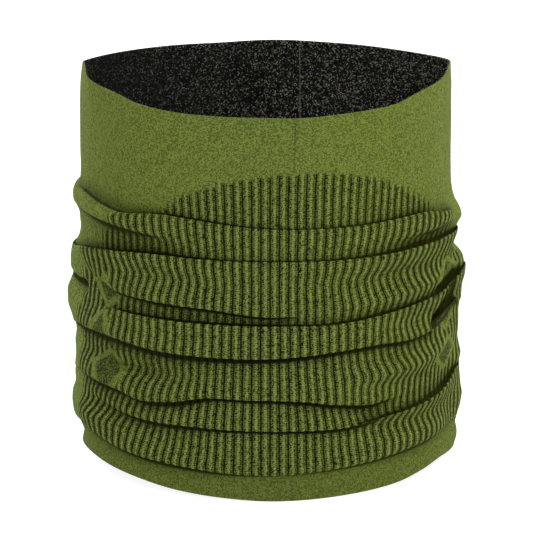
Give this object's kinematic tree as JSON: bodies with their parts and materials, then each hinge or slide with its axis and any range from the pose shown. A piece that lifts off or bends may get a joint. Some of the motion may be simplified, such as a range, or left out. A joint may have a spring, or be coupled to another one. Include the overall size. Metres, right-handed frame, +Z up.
{
  "type": "neck gaiter",
  "caption": "Seamless knitted tube scarf, green outside and black inside, standing open with a smooth collar above a ribbed body slouched into folds and a plain hem.",
  "frame": {"origin": "centre of the bounding box's base, inside the hem, on the surface the gaiter stands on", "axes": "+Z up along the tube towards the collar, -Y towards the deep rounded front, +X to the wearer's left as the front is seen from outside on the right"},
  "size_m": [0.1962, 0.127, 0.2015],
  "materials": {
    "green_knit": "smooth heathered olive green knit",
    "ribbed_knit": "olive green knit with fine black lines between the ribs",
    "black_knit": "matt black knit with small grey specks"
  },
  "bodies": {
    "hem": {"bottom_edge": "green_knit", "hem_face": "green_knit", "hem_lining": "black_knit"},
    "fold_1": {"fold_1_front": "ribbed_knit", "fold_1_back": "ribbed_knit", "fold_1_lining": "black_knit"},
    "fold_2": {"fold_2_front": "ribbed_knit", "fold_2_back": "ribbed_knit", "fold_2_lining": "black_knit"},
    "fold_3": {"fold_3_front": "ribbed_knit", "fold_3_back": "ribbed_knit", "fold_3_lining": "black_knit"},
    "fold_4": {"fold_4_front": "ribbed_knit", "fold_4_back": "ribbed_knit", "fold_4_lining": "black_knit"},
    "fold_5": {"fold_5_front": "ribbed_knit", "fold_5_back": "ribbed_knit", "fold_5_lining": "black_knit"},
    "fold_6": {"fold_6_front": "ribbed_knit", "fold_6_back": "ribbed_knit", "fold_6_lining": "black_knit"},
    "collar": {"collar_face": "green_knit", "collar_front_ribs": "ribbed_knit", "collar_back_ribs": "ribbed_knit", "collar_lining": "black_knit", "top_edge": "green_knit"}
  },
  "joints": [
    {"name": "pull_up_1", "type": "slide", "parent": "hem", "child": "fold_1", "axis": [0, 0, 1], "range_m": [0, 0.007]},
    {"name": "pull_up_2", "type": "slide", "parent": "fold_1", "child": "fold_2", "axis": [0, 0, 1], "range_m": [0, 0.007]},
    {"name": "pull_up_3", "type": "slide", "parent": "fold_2", "child": "fold_3", "axis": [0, 0, 1], "range_m": [0, 0.007]},
    {"name": "pull_up_4", "type": "slide", "parent": "fold_3", "child": "fold_4", "axis": [0, 0, 1], "range_m": [0, 0.007]},
    {"name": "pull_up_5", "type": "slide", "parent": "fold_4", "child": "fold_5", "axis": [0, 0, 1], "range_m": [0, 0.007]},
    {"name": "pull_up_6", "type": "slide", "parent": "fold_5", "child": "fold_6", "axis": [0, 0, 1], "range_m": [0, 0.007]},
    {"name": "pull_up_7", "type": "slide", "parent": "fold_6", "child": "collar", "axis": [0, 0, 1], "range_m": [0, 0.007]}
  ],
  "couplings": [
    {"joint": "pull_up_2", "follows": "pull_up_1", "ratio": 1},
    {"joint": "pull_up_3", "follows": "pull_up_1", "ratio": 1},
    {"joint": "pull_up_4", "follows": "pull_up_1", "ratio": 1},
    {"joint": "pull_up_5", "follows": "pull_up_1", "ratio": 1},
    {"joint": "pull_up_6", "follows": "pull_up_1", "ratio": 1},
    {"joint": "pull_up_7", "follows": "pull_up_1", "ratio": 1}
  ]
}
